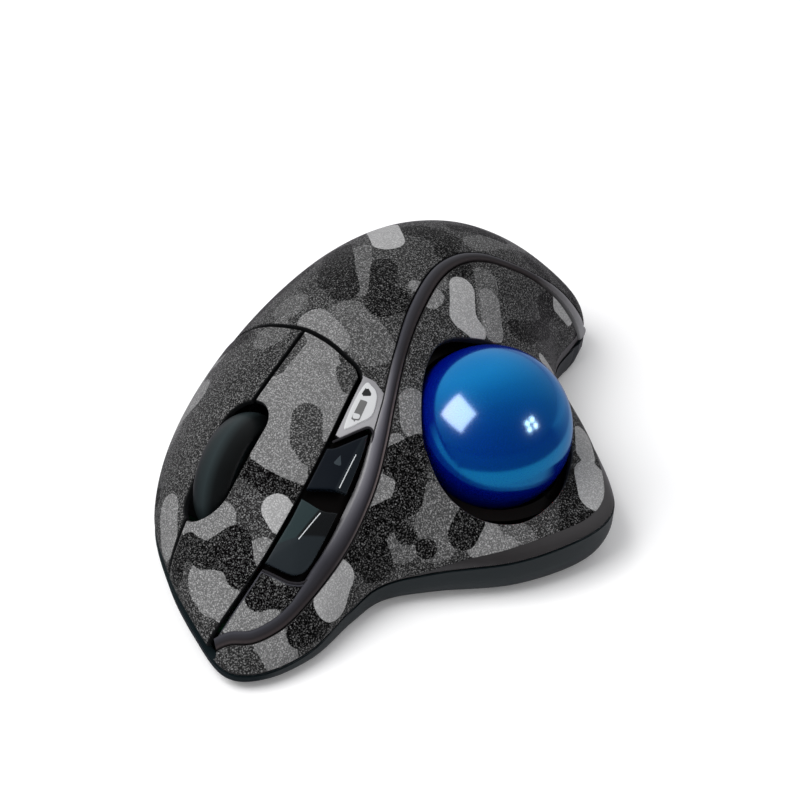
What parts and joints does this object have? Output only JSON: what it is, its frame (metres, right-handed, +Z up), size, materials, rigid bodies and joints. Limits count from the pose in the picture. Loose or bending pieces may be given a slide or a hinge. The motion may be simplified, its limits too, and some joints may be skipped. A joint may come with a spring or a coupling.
{
  "type": "trackball mouse",
  "caption": "Wireless thumb trackball mouse with a side ball in a socket, main buttons, a scroll wheel, side buttons and a battery door, in a camouflage film.",
  "frame": {"origin": "on the desk under the middle of the bounding box", "axes": "+Y to the front (buttons), +X to the little-finger side, -X to the thumb and ball, +Z up"},
  "size_m": [0.092, 0.1399, 0.045],
  "materials": {
    "case": "satin",
    "shell": "matte",
    "trim": "satin",
    "side_button": "gloss",
    "window": "satin",
    "ball": "gloss",
    "socket": "matte",
    "bearing": "polished",
    "lens": "clear",
    "chip": "matte",
    "board": "satin",
    "tyre": "matte",
    "inner_plastic": "matte",
    "steel": "satin",
    "plunger": "matte",
    "cell": "satin",
    "knob": "satin",
    "foot": "matte"
  },
  "bodies": {
    "base": {"bottom_case": "case", "palm_shell": "shell", "thumb_shell": "shell", "trim_frame": "trim", "status_window": "window", "ball_socket": "socket", "ball_bearings": "bearing", "sensor_lens": "lens", "optical_sensor": "chip", "sensor_board": "board", "main_board": "board", "radio_chip": "chip", "left_switch": "chip", "right_switch": "chip", "middle_switch": "steel", "side_board": "board", "back_switch": "steel", "forward_switch": "steel", "battery": "cell", "battery_spring": "steel", "battery_contact": "steel", "power_switch": "chip", "receiver": "socket", "feet": "foot", "case_screws": "steel", "board_screws": "steel"},
    "ball": {"ball": "ball"},
    "left_button": {"left_button": "shell"},
    "right_button": {"right_button": "shell"},
    "left_plunger": {"left_plunger": "plunger"},
    "right_plunger": {"right_plunger": "plunger"},
    "carrier": {"wheel_carrier": "inner_plastic", "wheel_encoder": "chip"},
    "wheel": {"wheel_tyre": "tyre", "wheel_hub": "inner_plastic", "wheel_axle": "steel"},
    "middle_plunger": {"middle_plunger": "plunger"},
    "back_button": {"back_button": "side_button"},
    "forward_button": {"forward_button": "side_button"},
    "power_knob": {"power_knob": "knob"},
    "battery_door": {"battery_door": "case"}
  },
  "joints": [
    {"name": "ball_spin", "type": "hinge", "parent": "base", "child": "ball", "pos_m": [-0.0182, -0.0012, 0.0228], "axis": [0, 1, 0], "continuous": true},
    {"name": "left_button_press", "type": "hinge", "parent": "base", "child": "left_button", "pos_m": [0.011, 0.006, 0.0393], "axis": [-1, 0, 0], "range_deg": [0, 1], "stiffness_Nm_per_rad": 2, "springref_deg": -0.57},
    {"name": "right_button_press", "type": "hinge", "parent": "base", "child": "right_button", "pos_m": [0.028, 0.006, 0.0373], "axis": [-1, 0, 0], "range_deg": [0, 1], "stiffness_Nm_per_rad": 2, "springref_deg": -0.57},
    {"name": "left_plunger_slide", "type": "slide", "parent": "base", "child": "left_plunger", "axis": [0, 0, -1], "range_m": [0, 0.0008]},
    {"name": "right_plunger_slide", "type": "slide", "parent": "base", "child": "right_plunger", "axis": [0, 0, -1], "range_m": [0, 0.0005]},
    {"name": "wheel_press", "type": "hinge", "parent": "base", "child": "carrier", "pos_m": [0.0198, 0.017, 0.0105], "axis": [-1, 0, 0], "range_deg": [0, 1.2], "stiffness_Nm_per_rad": 2, "springref_deg": -0.57},
    {"name": "wheel_spin", "type": "hinge", "parent": "carrier", "child": "wheel", "pos_m": [0.0198, 0.0343, 0.0206], "axis": [1, 0, 0], "continuous": true},
    {"name": "middle_plunger_slide", "type": "slide", "parent": "base", "child": "middle_plunger", "axis": [0, 0, -1], "range_m": [0, 0.0007]},
    {"name": "back_button_press", "type": "slide", "parent": "base", "child": "back_button", "axis": [0.5655, -0.342, -0.7505], "range_m": [0, 0.0005], "stiffness_N_per_m": 800, "springref_m": -0.0003},
    {"name": "forward_button_press", "type": "slide", "parent": "base", "child": "forward_button", "axis": [0.5655, -0.342, -0.7505], "range_m": [0, 0.0005], "stiffness_N_per_m": 800, "springref_m": -0.0003},
    {"name": "power_slide", "type": "slide", "parent": "base", "child": "power_knob", "axis": [0, 1, 0], "range_m": [0, 0.003]},
    {"name": "battery_door_hinge", "type": "hinge", "parent": "base", "child": "battery_door", "pos_m": [0.0165, -0.05185, 0.0023], "axis": [-1, 0, 0], "range_deg": [0, 95]}
  ],
  "couplings": [
    {"joint": "left_plunger_slide", "follows": "left_button_press", "m_per_rad": 0.044},
    {"joint": "right_plunger_slide", "follows": "right_button_press", "m_per_rad": 0.0246},
    {"joint": "middle_plunger_slide", "follows": "wheel_press", "m_per_rad": 0.0305}
  ]
}
